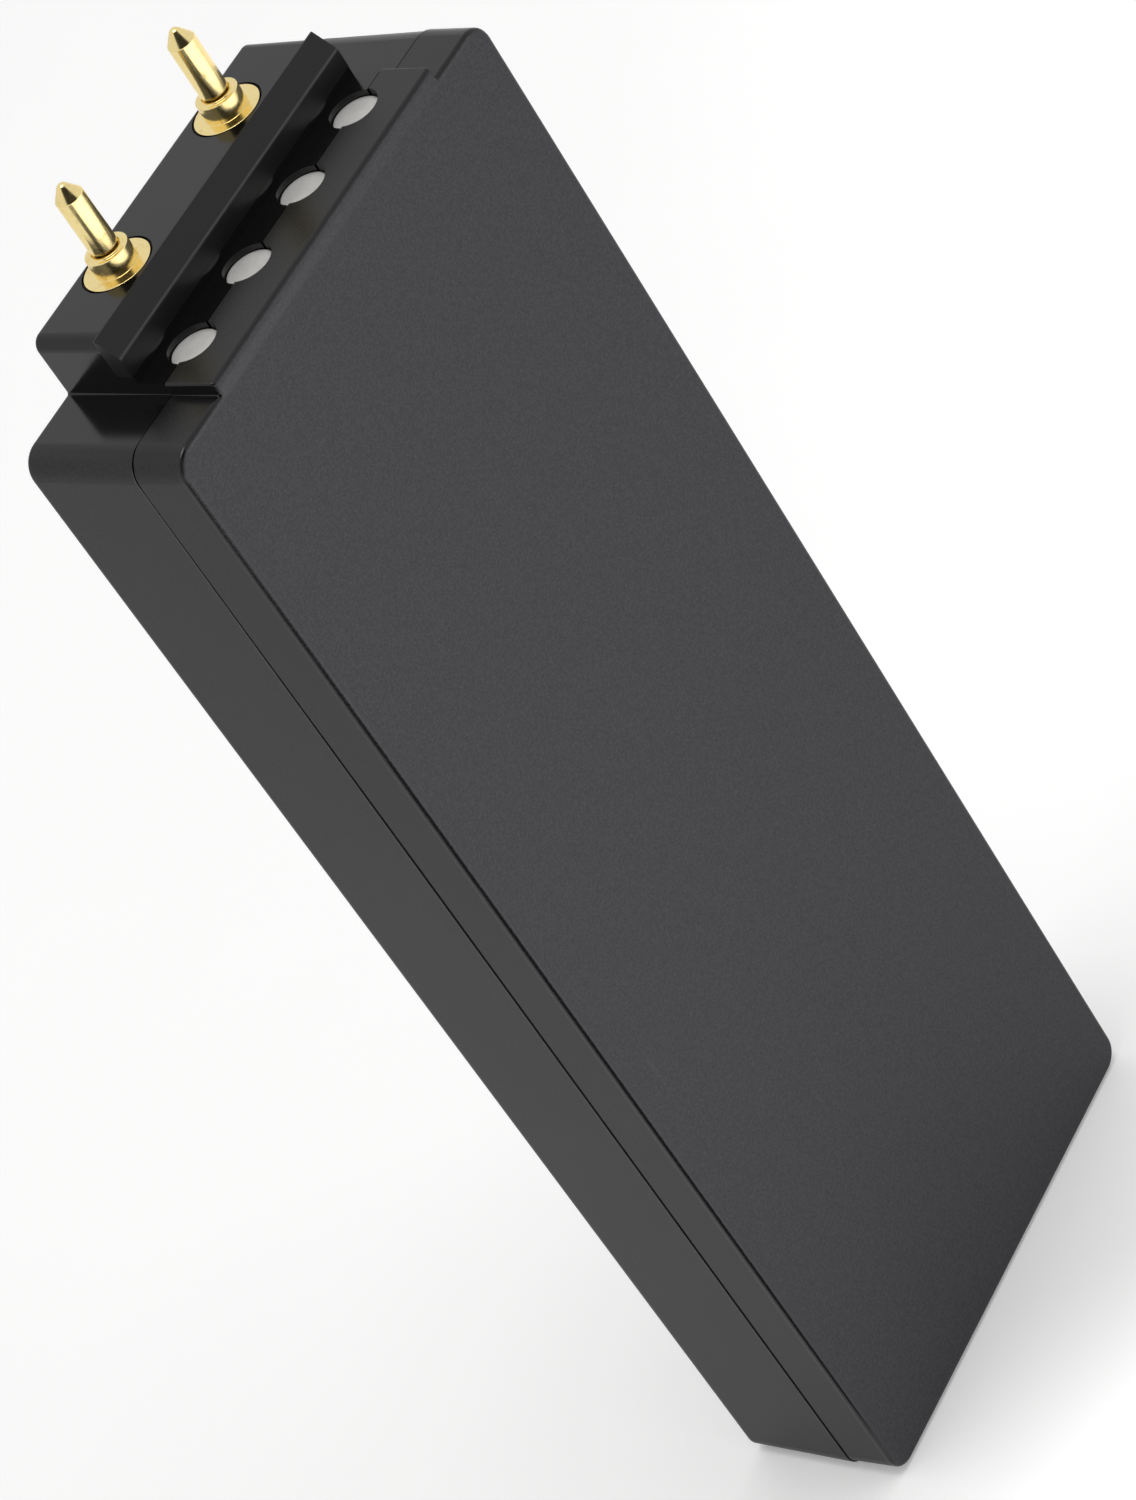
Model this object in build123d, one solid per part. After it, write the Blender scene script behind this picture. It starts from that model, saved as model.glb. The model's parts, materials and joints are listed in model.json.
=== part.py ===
from build123d import *
from math import cos, radians, sin
import os

# A rechargeable battery pack in a prismatic two-part moulded case. It stands on its bottom end with the
# sprung contact pins pointing up (+Z), its width along X and its thickness along Y, front cover at -Y.
# All sizes are in millimetres. The origin is at the centre of the bottom end.

# ---- case ----
case_width = 60.0
case_depth = 20.4
shoulder_z = 159.5
head_half_width = 21.0
head_top_z = 166.2
ledge_z = 160.9
parting_y = -3.8
side_wall = 1.8
face_wall = 0.9
corner_radius = 2.75
head_corner_radius = 1.5
ledge_corner_radius = 0.3
notch_radius = 0.03
edge_radius = 0.5
tray_draft = 0.75
bottom_trim = 0.2
cover_draft = 1.0
cover_lift = 0.2
cover_head_extra = 0.3
tongue_thickness = 0.8
tongue_height = 1.2
tongue_clearance = 0.05
seam_gap = 0.4
seam_gap_top = 0.14
seam_gap_head = 0.36
seam_open_z = 105.0

half_width = case_width / 2
back_y = case_depth / 2
front_y = -case_depth / 2

# ---- key rail across the head ----
rail_front_y = -0.4
rail_rear_y = 1.6
rail_bottom_z = 161.75
rail_edge_z = 164.0
rail_top_z = 166.3
rail_edge_radius = 0.12
rail_peg_x = 14.0
rail_peg_radius = 0.8
rail_peg_length = 1.0
head_inner_y = rail_rear_y + 1.2

# ---- sprung contact pins ----
pin_x = 10.55
pin_y = 5.85
pin_surface_z = 166.1
recess_radius = 3.85
flange_radius = 3.6
flange_thickness = 0.8
collar_radius = 2.3
collar_height = 2.05
lip_height = 0.15
barrel_bore_radius = 1.72
mouth_radius = 1.53
mouth_length = 0.5
plunger_radius = 1.49
plunger_neck_radius = 1.3
plunger_foot_radius = 1.68
plunger_foot_length = 4.0
plunger_exposed = 6.68
plunger_cone = 1.57
tip_radius = 0.7
tip_angle = 35.4
spring_radius = 1.2
spring_wire_radius = 0.17
spring_pitch = 0.9
running_gap = 0.05
tail_radius = 0.75

collar_top_z = pin_surface_z + collar_height
foot_top_z = collar_top_z - mouth_length - running_gap
foot_bottom_z = foot_top_z - plunger_foot_length
neck_top_z = collar_top_z + lip_height + 0.1

# ---- signal contacts in the wells on the seam ----
contact_pitch = 10.5
well_radius = 2.7
contact_radius = 2.6
contact_recess = 0.65
contact_flange_radius = 3.2
contact_flange_thickness = 0.7
stem_radius = 0.9

contact_x = [contact_pitch * (i - 1.5) for i in range(4)]
contact_top_z = ledge_z - contact_recess
well_floor_z = ledge_z - side_wall

# ---- cells ----
cell_pitch = 18.5
can_radius = 9.05
can_wall = 0.2
can_length = 64.6
cell_length = 65.1
sleeve_thickness = 0.12
strip_thickness = 0.15
foam_thickness = 1.5
card_thickness = 0.3

card_z = side_wall + foam_thickness
bottom_strip_z = card_z + card_thickness
lower_row_z = bottom_strip_z + strip_thickness
middle_strip_z = lower_row_z + cell_length
upper_row_z = middle_strip_z + strip_thickness
top_strip_z = upper_row_z + cell_length
top_card_z = top_strip_z + strip_thickness

cell_places = [(column * cell_pitch, row_z) for row_z in (lower_row_z, upper_row_z) for column in (-1, 0, 1)]

# ---- circuit boards ----
board_bottom_z = top_card_z + card_thickness
contact_board_z = 152.6
contact_board_thickness = 1.6
contact_board_top = contact_board_z + contact_board_thickness
protection_board_top = contact_board_z - 0.6
protection_front_y = 1.0
protection_back_y = 2.0
lead_groove_x = cell_pitch / 2
lead_groove_y = 8.2

# Sketch planes on the seam: one faces the back of the case and one faces the front, both with +Z up.
tray_plane = Plane(origin=(0, parting_y, 0), x_dir=(-1, 0, 0), z_dir=(0, 1, 0))
cover_plane = Plane(origin=(0, parting_y, 0), x_dir=(1, 0, 0), z_dir=(0, -1, 0))


def box_between(x, y, z):
    """A box from its low and high X, Y and Z."""
    size = [high - low for low, high in (x, y, z)]
    middle = [(high + low) / 2 for low, high in (x, y, z)]
    return Pos(*middle) * Box(*size)


def rod(x, y, z, radius):
    """A round bar parallel to Z at x, y from z[0] to z[1]."""
    return Pos(x, y, (z[0] + z[1]) / 2) * Cylinder(radius, z[1] - z[0])


def turned(points):
    """A solid of revolution about Z from (radius, z) points."""
    profile = Plane.XZ * make_face(Polyline(*points, close=True))
    return revolve(profile, Axis.Z)


def case_outline(bottom, shoulder, half_head, top, inset=0.0):
    """The case seen from the front: a rounded rectangle with a narrower head, all moved inwards by inset."""
    half = half_width - inset
    head = half_head - inset
    low = bottom + inset
    body = Rectangle(2 * half, shoulder - inset - low)
    body = fillet(body.vertices(), corner_radius - inset * 0.9)
    body = Pos(0, (low + shoulder - inset) / 2) * body
    neck_low = shoulder - 10
    neck = Rectangle(2 * head, top - inset - neck_low)
    radius = head_corner_radius if top > ledge_z + 1 else ledge_corner_radius
    neck = fillet(neck.vertices().group_by(Axis.Y)[-1], max(radius - inset * 0.6, 0.2))
    neck = Pos(0, (neck_low + top - inset) / 2) * neck
    outline = body + neck
    at_neck = outline.vertices().filter_by(lambda v: abs(abs(v.X) - head) < 0.01)
    notch = at_neck.filter_by(lambda v: abs(v.Y - shoulder + inset) < 0.01)
    return fillet(notch, notch_radius)


def pin_hole_cut(x):
    """The stepped round hole that a pin barrel is pressed into."""
    through = rod(x, pin_y, (well_floor_z, head_top_z + 1), collar_radius)
    recess = rod(x, pin_y, (pin_surface_z - flange_thickness, head_top_z + 1), recess_radius)
    return through + recess


def wells_cut():
    """The four round wells in the ledge, half in the tray and half in the cover."""
    return [rod(x, parting_y, (well_floor_z - 1, ledge_z + 2), well_radius) for x in contact_x]


def make_tray():
    """The rear half of the case, with the head block that holds the pins."""
    # The outline starts a little low, so that the drafted walls can be cut to a flat bottom at zero.
    outline = case_outline(-bottom_trim, shoulder_z, head_half_width, head_top_z)
    tray = extrude(tray_plane * outline, back_y - parting_y, taper=tray_draft)
    tray -= box_between((-40, 40), (-20, 20), (-10, 0))
    back_edges = tray.faces().sort_by(Axis.Y)[-1].outer_wire().edges()
    tray = fillet(back_edges, edge_radius)
    # The head is full height only behind the rail. In front of it lies the low ledge.
    tray -= box_between((-40, 40), (-20, rail_front_y), (ledge_z, 180))
    tray -= box_between((-40, 40), (-20, rail_rear_y), (rail_bottom_z, 180))
    low_inner = case_outline(0.0, shoulder_z, head_half_width, ledge_z, side_wall)
    tray -= extrude(tray_plane * low_inner, back_y - face_wall - parting_y)
    head_inner = head_half_width - side_wall
    head_ceiling = head_top_z - side_wall
    tray -= box_between((-head_inner, head_inner), (head_inner_y, back_y - face_wall), (150, head_ceiling))
    rebate = case_outline(0.0, shoulder_z, head_half_width, ledge_z, side_wall - tongue_thickness)
    tray -= extrude(tray_plane * rebate, tongue_height + tongue_clearance)
    for side in (-1, 1):
        tray -= pin_hole_cut(side * pin_x)
        peg = Cylinder(rail_peg_radius, rail_peg_length + 0.1, rotation=(90, 0, 0))
        tray -= Pos(side * rail_peg_x, rail_rear_y + (rail_peg_length + 0.1) / 2, 163.2) * peg
    tray -= wells_cut()
    return tray


def make_cover():
    """The front half of the case, with the tongue that locates it in the tray."""
    bottom = cover_lift
    shoulder = shoulder_z + cover_lift
    half_head = head_half_width + cover_head_extra
    top = ledge_z + cover_lift
    outline = case_outline(bottom, shoulder, half_head, top)
    cover = extrude(cover_plane * outline, parting_y - front_y, taper=cover_draft)
    front_edges = cover.faces().sort_by(Axis.Y)[0].outer_wire().edges()
    cover = fillet(front_edges, edge_radius)
    inner = case_outline(0.0, shoulder_z, head_half_width, ledge_z, side_wall)
    cover -= extrude(cover_plane * inner, parting_y - front_y - face_wall)
    tongue_inset = side_wall - tongue_thickness + tongue_clearance
    tongue = case_outline(0.0, shoulder_z, head_half_width, ledge_z, tongue_inset)
    cover += extrude(tray_plane * (tongue - inner), tongue_height)
    # The seam narrows up the sides of the case and opens again where it crosses the top faces.
    wedge = make_face(
        Polyline(
            (parting_y, ledge_z + 2),
            (parting_y, -1),
            (parting_y - seam_gap, -1),
            (parting_y - seam_gap, seam_open_z),
            (parting_y - seam_gap_top, shoulder_z - 4),
            (parting_y - seam_gap_head, shoulder_z - 1),
            (parting_y - seam_gap_head, ledge_z + 2),
            close=True,
        )
    )
    wedge = extrude(Plane.YZ * wedge, 40, both=True)
    ring_hole = case_outline(0.0, shoulder_z, head_half_width, ledge_z, side_wall - tongue_thickness)
    core = extrude(cover_plane * ring_hole, 2)
    cover -= wedge - core
    cover -= wells_cut()
    return cover


def make_rail():
    """The dark keyed rail across the head, pegged to the tray."""
    section = make_face(
        Polyline(
            (rail_front_y, rail_bottom_z),
            (rail_front_y, rail_edge_z),
            (rail_rear_y - 0.15, rail_top_z),
            (rail_rear_y, rail_top_z),
            (rail_rear_y, rail_bottom_z),
            close=True,
        )
    )
    front_edge = section.vertices().filter_by(lambda v: v.Y > rail_edge_z - 1 and v.X < 0)
    section = fillet(front_edge, rail_edge_radius)
    rail = extrude(Plane.YZ * section, head_half_width, both=True)
    for side in (-1, 1):
        peg = Cylinder(rail_peg_radius, rail_peg_length, rotation=(90, 0, 0))
        rail += Pos(side * rail_peg_x, rail_rear_y + rail_peg_length / 2, 163.2) * peg
    return rail


def make_barrel():
    """A pin's fixed barrel: flange, collar with a rolled mouth, and bore."""
    flange_z = pin_surface_z - flange_thickness
    barrel = turned(
        [
            (barrel_bore_radius, contact_board_top),
            (collar_radius, contact_board_top),
            (collar_radius, flange_z),
            (flange_radius, flange_z),
            (flange_radius, pin_surface_z - 0.1),
            (flange_radius - 0.1, pin_surface_z),
            (collar_radius + 0.12, pin_surface_z),
            (collar_radius, pin_surface_z + 0.12),
            (collar_radius, collar_top_z - 0.08),
            (collar_radius - 0.08, collar_top_z),
            (mouth_radius + 0.38, collar_top_z),
            (mouth_radius + 0.28, collar_top_z + lip_height),
            (mouth_radius + 0.1, collar_top_z + lip_height),
            (mouth_radius, collar_top_z),
            (mouth_radius, collar_top_z - mouth_length),
            (barrel_bore_radius, collar_top_z - mouth_length),
        ]
    )
    return barrel


def make_plunger():
    """A pin's sliding plunger: foot held under the mouth, round shaft, conical tip."""
    shaft_top = collar_top_z + plunger_exposed
    tip_z = shaft_top + plunger_cone
    tip_centre_z = tip_z - tip_radius
    # The cone's side leans in by the tip angle and meets the tip's ball at the same angle above its middle.
    cone_end = (tip_radius * cos(radians(tip_angle)), tip_centre_z + tip_radius * sin(radians(tip_angle)))
    arc_angle = radians((tip_angle + 90) / 2)
    tip_middle = (tip_radius * cos(arc_angle), tip_centre_z + tip_radius * sin(arc_angle))
    sides = Polyline(
        (0, tip_z),
        (0, foot_bottom_z),
        (plunger_foot_radius, foot_bottom_z),
        (plunger_foot_radius, foot_top_z),
        (plunger_neck_radius, foot_top_z),
        (plunger_neck_radius, neck_top_z),
        (plunger_radius, neck_top_z + plunger_radius - plunger_neck_radius),
        (plunger_radius, shaft_top),
        cone_end,
    )
    tip = ThreePointArc(cone_end, tip_middle, (0, tip_z))
    return revolve(Plane.XZ * make_face([sides, tip]), Axis.Z)


def make_spring():
    """The compression spring under a plunger, standing on the barrel's end plug."""
    low = contact_board_top + 1.4 + spring_wire_radius + 0.02
    high = foot_bottom_z - spring_wire_radius - 0.04
    path = Pos(0, 0, low) * Helix(spring_pitch, high - low, spring_radius)
    section = Plane(origin=path @ 0, z_dir=path % 0) * Circle(spring_wire_radius)
    return sweep(section, path=path, is_frenet=True)


def make_tail():
    """The plug that closes a barrel, with its solder tail through the contact board."""
    plug = rod(0, 0, (contact_board_top, contact_board_top + 1.4), barrel_bore_radius)
    return plug + rod(0, 0, (contact_board_z - 1.0, contact_board_top), tail_radius)


def make_signal_contact():
    """A flat round contact with a retaining flange under the wall and a stem to the board."""
    face = rod(0, 0, (well_floor_z, contact_top_z), contact_radius)
    face = fillet(face.edges().sort_by(Axis.Z)[-1], 0.12)
    flange = rod(0, 0, (well_floor_z - contact_flange_thickness, well_floor_z), contact_flange_radius)
    stem = rod(0, 0, (contact_board_z - 0.6, well_floor_z - contact_flange_thickness), stem_radius)
    return face + flange + stem


def make_contact_board():
    """The board across the case that the pins and signal contacts are soldered into."""
    board = box_between((-24, 24), (-8.7, 8.7), (contact_board_z, contact_board_top))
    board = fillet(board.edges().filter_by(Axis.Z), 1.0)
    span = (contact_board_z - 1, contact_board_top + 1)
    for side in (-1, 1):
        board -= rod(side * pin_x, pin_y, span, tail_radius)
    for x in contact_x:
        board -= rod(x, parting_y, span, stem_radius)
    return board


def chip(x, z, width, height, thickness, legs, pitch):
    """A leaded chip standing on the front face of the protection board."""
    body_front = protection_front_y - 0.15 - thickness
    body = box_between(
        (x - width / 2, x + width / 2),
        (body_front, protection_front_y - 0.15),
        (z - height / 2, z + height / 2),
    )
    body = chamfer(body.faces().sort_by(Axis.Y)[0].edges(), 0.15)
    for i in range(legs):
        leg_x = x + (i - (legs - 1) / 2) * pitch
        for side in (-1, 1):
            root = z + side * height / 2
            low, high = sorted((root - side * 0.2, root + side * 0.9))
            across = (leg_x - 0.18, leg_x + 0.18)
            body += box_between(across, (protection_front_y - 0.2, protection_front_y), (low, high))
    return body


def block_on_board(x, z, width, height, thickness, back=False):
    """A plain two-ended component on the protection board."""
    if back:
        y = (protection_back_y, protection_back_y + thickness)
    else:
        y = (protection_front_y - thickness, protection_front_y)
    block = box_between((x - width / 2, x + width / 2), y, (z - height / 2, z + height / 2))
    return fillet(block.edges().filter_by(Axis.Y), 0.15)


def make_cell_can(x, z):
    """A cell's steel can: closed bottom, crimp groove and rolled rim."""
    outer = can_radius
    inner = can_radius - can_wall
    top = z + can_length
    can = turned(
        [
            (0, z),
            (outer - 0.5, z),
            (outer, z + 0.5),
            (outer, top - 4.4),
            (outer - 0.75, top - 3.8),
            (outer - 0.75, top - 3.4),
            (outer, top - 2.8),
            (outer, top - 0.5),
            (outer - 0.4, top),
            (outer - 1.7, top),
            (outer - 1.7, top - can_wall),
            (inner - 0.4, top - can_wall),
            (inner, top - 0.6),
            (inner, top - 2.7),
            (inner - 0.75, top - 3.3),
            (inner - 0.75, top - 3.9),
            (inner, top - 4.5),
            (inner, z + 0.6),
            (inner - 0.5, z + can_wall),
            (0, z + can_wall),
        ]
    )
    return Pos(x, 0, 0) * can


def make_cell_winding(x, z):
    """The rolled electrodes inside a cell, with the hole left by the winding mandrel."""
    roll = rod(x, 0, (z + 0.7, z + can_length - 5.2), can_radius - can_wall - 0.1)
    return roll - rod(x, 0, (z, z + can_length), 1.5)


def make_cell_cap(x, z):
    """A cell's positive cap: seat under the rim and raised round button."""
    top = z + can_length
    cap = turned(
        [
            (0, top - 1.5),
            (7.6, top - 1.5),
            (7.6, top - 0.9),
            (4.2, top - 0.9),
            (3.6, z + cell_length),
            (0, z + cell_length),
        ]
    )
    return Pos(x, 0, 0) * cap


def make_cell_gasket(x, z):
    """The plastic seal between a cell's cap and its rim, in a C around the cap's edge."""
    top = z + can_length
    inner = can_radius - can_wall
    seal = turned(
        [
            (6.6, top - 2.1),
            (inner - 0.1, top - 2.1),
            (inner - 0.1, top - 0.8),
            (inner - 0.45, top - 0.25),
            (7.0, top - 0.25),
            (7.0, top - 0.9),
            (7.6, top - 0.9),
            (7.6, top - 1.5),
            (6.6, top - 1.5),
        ]
    )
    return Pos(x, 0, 0) * seal


def make_cell_washer(x, z):
    """The paper ring on a cell's rim."""
    top = z + can_length
    return rod(x, 0, (top, top + 0.2), can_radius - 0.15) - rod(x, 0, (top - 1, top + 1), 5.2)


def make_cell_sleeve(x, z):
    """A cell's shrink-film sleeve, turned in over the paper ring at the top."""
    outer = can_radius + sleeve_thickness
    top = z + can_length + 0.2
    sleeve = turned(
        [
            (can_radius, z + 0.5),
            (outer, z + 0.5),
            (outer, top),
            (outer - 0.12, top + 0.12),
            (7.6, top + 0.12),
            (7.6, top),
            (can_radius, top),
        ]
    )
    return Pos(x, 0, 0) * sleeve


def make_strip(z, tab_x, tab_side):
    """A nickel strip across three cells, with a solder tab reaching into the groove between two cells."""
    strip = SlotOverall(2 * cell_pitch + 9, 8)
    tab_length = lead_groove_y + 0.8
    tab = Pos(tab_x, tab_side * tab_length / 2) * Rectangle(4, tab_length)
    sketch = strip + tab
    for column in (-1, 0, 1):
        sketch -= Pos(column * cell_pitch, 0) * Rectangle(0.8, 5)
    return extrude(Pos(0, 0, z) * sketch, strip_thickness)


def make_card(z):
    """An insulating card that covers the ends of three cells, notched for the leads in the grooves."""
    card = RectangleRounded(3 * cell_pitch - 0.4, 2 * can_radius, 2)
    for x in (-lead_groove_x, lead_groove_x):
        for y in (-lead_groove_y, lead_groove_y):
            card -= Pos(x, y) * Circle(1.1)
    return extrude(Pos(0, 0, z) * card, card_thickness)


def make_lead(points, radius):
    """A held wire along straight runs joined by arcs."""
    path = FilletPolyline(*points, radius=2.0)
    section = Plane(origin=path @ 0, z_dir=path % 0) * Circle(radius)
    return sweep(section, path=path)


def board_lead(x, y, start_z, end_z, radius):
    """A lead that rises in a groove between cells and turns in to the protection board."""
    board_y = protection_back_y if y > 0 else protection_front_y
    return make_lead([(x, y, start_z), (x, y, end_z), (x, board_y, end_z)], radius)


parts = {
    "rear_tray": make_tray(),
    "front_cover": make_cover(),
    "key_rail": make_rail(),
    "contact_board": make_contact_board(),
    "protection_board": box_between(
        (-25, 25), (protection_front_y, protection_back_y), (board_bottom_z, protection_board_top)
    ),
}

for side, name in ((-1, "left"), (1, "right")):
    place = Pos(side * pin_x, pin_y, 0)
    parts["pin_barrel_" + name] = place * make_barrel()
    parts["pin_plunger_" + name] = place * make_plunger()
    parts["pin_spring_" + name] = place * make_spring()
    parts["pin_tail_" + name] = place * make_tail()

for number, x in enumerate(contact_x, start=1):
    parts["signal_contact_" + str(number)] = Pos(x, parting_y, 0) * make_signal_contact()

for number, (x, z) in enumerate(cell_places, start=1):
    parts["cell_can_" + str(number)] = make_cell_can(x, z)
    parts["cell_winding_" + str(number)] = make_cell_winding(x, z)
    parts["cell_cap_" + str(number)] = make_cell_cap(x, z)
    parts["cell_sleeve_" + str(number)] = make_cell_sleeve(x, z)

parts["cell_gaskets"] = Compound(children=[make_cell_gasket(x, z) for x, z in cell_places])
parts["cell_washers"] = Compound(children=[make_cell_washer(x, z) for x, z in cell_places])

parts["strip_negative"] = make_strip(bottom_strip_z, -lead_groove_x, 1)
parts["strip_middle"] = make_strip(middle_strip_z, lead_groove_x, -1)
parts["strip_positive"] = make_strip(top_strip_z, lead_groove_x, 1)
parts["card_bottom"] = make_card(card_z)
parts["card_top"] = make_card(top_card_z)
parts["foam_pad"] = extrude(Pos(0, 0, side_wall) * RectangleRounded(54, 17, 2), foam_thickness)

parts["lead_negative"] = board_lead(-lead_groove_x, lead_groove_y, lower_row_z, 146.0, 0.8)
parts["lead_positive"] = board_lead(lead_groove_x, lead_groove_y, top_card_z, 146.0, 0.8)
parts["lead_middle"] = board_lead(lead_groove_x, -lead_groove_y, upper_row_z, 149.0, 0.45)
thermistor_wires = [board_lead(-lead_groove_x + dx, -lead_groove_y, 101.0, 149.0, 0.3) for dx in (-0.5, 0.5)]
parts["thermistor_leads"] = Compound(children=thermistor_wires)
parts["thermistor"] = fillet(rod(-lead_groove_x, -lead_groove_y, (97.0, 101.0), 0.95).edges(), 0.4)

parts["controller_chip"] = chip(0, 143.5, 6.4, 4.4, 1.0, 8, 0.75)
parts["power_switches"] = Compound(children=[chip(x, 143.5, 5.0, 4.0, 1.4, 4, 1.27) for x in (-19.5, -11.5)])
parts["sense_resistor"] = block_on_board(10.5, 141.0, 6.4, 3.2, 0.6)
capacitors = [block_on_board(15.5 + 2.2 * i, 146.0, 1.2, 2.0, 0.8) for i in range(4)]
parts["capacitors"] = Compound(children=capacitors)
parts["cutoff_fuse"] = block_on_board(18.5, 143.0, 8.0, 4.0, 1.2, back=True)
link_tabs = [
    box_between((x - 1, x + 1), (protection_back_y, protection_back_y + 0.3), (147.5, contact_board_z))
    for x in (-21, -15, -3, 3, 15, 21)
]
parts["board_links"] = Compound(children=link_tabs)

os.makedirs("parts", exist_ok=True)
for name, shape in parts.items():
    export_step(shape, "parts/" + name + ".step")
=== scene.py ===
import json
import math

import bmesh
import bpy
from mathutils import Matrix, Vector


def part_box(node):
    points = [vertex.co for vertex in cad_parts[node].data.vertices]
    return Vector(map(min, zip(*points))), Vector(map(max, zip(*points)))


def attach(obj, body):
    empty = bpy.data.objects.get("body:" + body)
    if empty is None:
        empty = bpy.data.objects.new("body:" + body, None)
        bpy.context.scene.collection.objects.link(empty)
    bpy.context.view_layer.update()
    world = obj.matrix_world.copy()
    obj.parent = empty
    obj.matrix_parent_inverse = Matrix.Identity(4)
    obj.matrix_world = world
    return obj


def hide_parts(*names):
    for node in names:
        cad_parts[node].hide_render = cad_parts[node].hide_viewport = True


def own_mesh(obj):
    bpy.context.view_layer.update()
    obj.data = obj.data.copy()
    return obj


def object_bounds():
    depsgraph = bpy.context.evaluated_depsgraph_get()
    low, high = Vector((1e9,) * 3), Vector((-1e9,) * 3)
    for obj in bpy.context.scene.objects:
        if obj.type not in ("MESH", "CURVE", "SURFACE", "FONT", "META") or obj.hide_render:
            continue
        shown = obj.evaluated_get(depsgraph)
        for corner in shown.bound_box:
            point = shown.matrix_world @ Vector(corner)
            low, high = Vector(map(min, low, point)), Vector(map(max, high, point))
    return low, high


bl_info = {
    "name": "Prismatic Battery Pack",
    "version": (1, 0, 0),
    "blender": (4, 5, 0),
    "location": "3D View > Sidebar > Battery Pack",
    "description": "Builds the looks of a prismatic battery pack round its CAD frame",
    "category": "Object",
}

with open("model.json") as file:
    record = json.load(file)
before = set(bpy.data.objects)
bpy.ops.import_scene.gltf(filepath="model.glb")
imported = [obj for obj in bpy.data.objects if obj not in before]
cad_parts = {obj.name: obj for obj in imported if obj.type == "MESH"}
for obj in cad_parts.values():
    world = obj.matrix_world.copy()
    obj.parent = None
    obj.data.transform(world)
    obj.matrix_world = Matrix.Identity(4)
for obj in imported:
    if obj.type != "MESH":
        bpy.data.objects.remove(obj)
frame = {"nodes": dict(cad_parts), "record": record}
cad_low, cad_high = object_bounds()

SIDES = ("left", "right")
MM = 0.001

# The shoulders of the case lie about this far below the top of the head.
HEAD_RISE = 6.6 * MM
# The front edge of the key rail lies this far below its top.
RAIL_CREST = 2.3 * MM


# ---------------------------------------------------------------- settings

class PackSizes(bpy.types.PropertyGroup):
    """Sizes that the looks add to the CAD model."""

    grain_size: bpy.props.FloatProperty(
        name="Grain size", description="Size of one grain of the moulded texture",
        default=0.00022, min=0.00005, max=0.002, unit="LENGTH", precision=5)
    grain_depth: bpy.props.FloatProperty(
        name="Grain depth", description="Depth of the moulded texture",
        default=0.000016, min=0.0, max=0.0002, unit="LENGTH", precision=6)
    tool_pitch: bpy.props.FloatProperty(
        name="Tool pitch", description="Spacing of the turning marks on the pins",
        default=0.00012, min=0.00002, max=0.001, unit="LENGTH", precision=5)
    spring_turns: bpy.props.IntProperty(
        name="Spring turns", description="Turns of wire in each contact spring, closed ends included",
        default=10, min=4, max=20)
    contact_rings: bpy.props.IntProperty(
        name="Contact rings", description="Turned rings on the face of each signal contact",
        default=12, min=0, max=30)
    camera_lens: bpy.props.FloatProperty(
        name="Camera lens", description="Focal length of the camera in millimetres",
        default=117.165, min=20.0, max=300.0)
    floor_size: bpy.props.FloatProperty(
        name="Floor size", description="Side of the square studio floor",
        default=12.0, min=1.0, max=40.0, unit="LENGTH")


class PackColours(bpy.types.PropertyGroup):
    """Colours of the main finishes."""

    case: bpy.props.FloatVectorProperty(
        name="Case", description="Moulded case halves",
        default=(0.0050, 0.0050, 0.0055), size=3, subtype="COLOR", min=0.0, max=1.0)
    rail: bpy.props.FloatVectorProperty(
        name="Key rail", description="Rail across the head",
        default=(0.0075, 0.0075, 0.0078), size=3, subtype="COLOR", min=0.0, max=1.0)
    gold: bpy.props.FloatVectorProperty(
        name="Gold plate", description="Plating of the contact pins",
        default=(1.00, 0.80, 0.37), size=3, subtype="COLOR", min=0.0, max=1.0)
    silver: bpy.props.FloatVectorProperty(
        name="Silver plate", description="Plating of the signal contacts",
        default=(0.80, 0.79, 0.77), size=3, subtype="COLOR", min=0.0, max=1.0)
    sleeve: bpy.props.FloatVectorProperty(
        name="Cell sleeve", description="Shrink film on the cells",
        default=(0.02, 0.16, 0.34), size=3, subtype="COLOR", min=0.0, max=1.0)
    board: bpy.props.FloatVectorProperty(
        name="Circuit board", description="Solder mask on the boards",
        default=(0.015, 0.12, 0.05), size=3, subtype="COLOR", min=0.0, max=1.0)
    nickel: bpy.props.FloatVectorProperty(
        name="Nickel", description="Nickel strips and links",
        default=(0.62, 0.60, 0.56), size=3, subtype="COLOR", min=0.0, max=1.0)
    floor: bpy.props.FloatVectorProperty(
        name="Floor", description="Studio floor",
        default=(0.92, 0.92, 0.92), size=3, subtype="COLOR", min=0.0, max=1.0)


def sizes():
    return bpy.context.scene.pack_sizes


def colours():
    return bpy.context.scene.pack_colours


# ---------------------------------------------------------------- shader maths

class Signal:
    """An output of a shader node that takes Python arithmetic, each step adding a Math node."""

    def __init__(self, finish, socket):
        self.finish = finish
        self.socket = socket

    def __add__(self, other):
        return self.finish.math("ADD", self, other)

    __radd__ = __add__

    def __sub__(self, other):
        return self.finish.math("SUBTRACT", self, other)

    def __rsub__(self, other):
        return self.finish.math("SUBTRACT", other, self)

    def __mul__(self, other):
        return self.finish.math("MULTIPLY", self, other)

    __rmul__ = __mul__

    def __truediv__(self, other):
        return self.finish.math("DIVIDE", self, other)

    def __pow__(self, other):
        return self.finish.math("POWER", self, other)

    def __abs__(self):
        return self.finish.math("ABSOLUTE", self)


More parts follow.
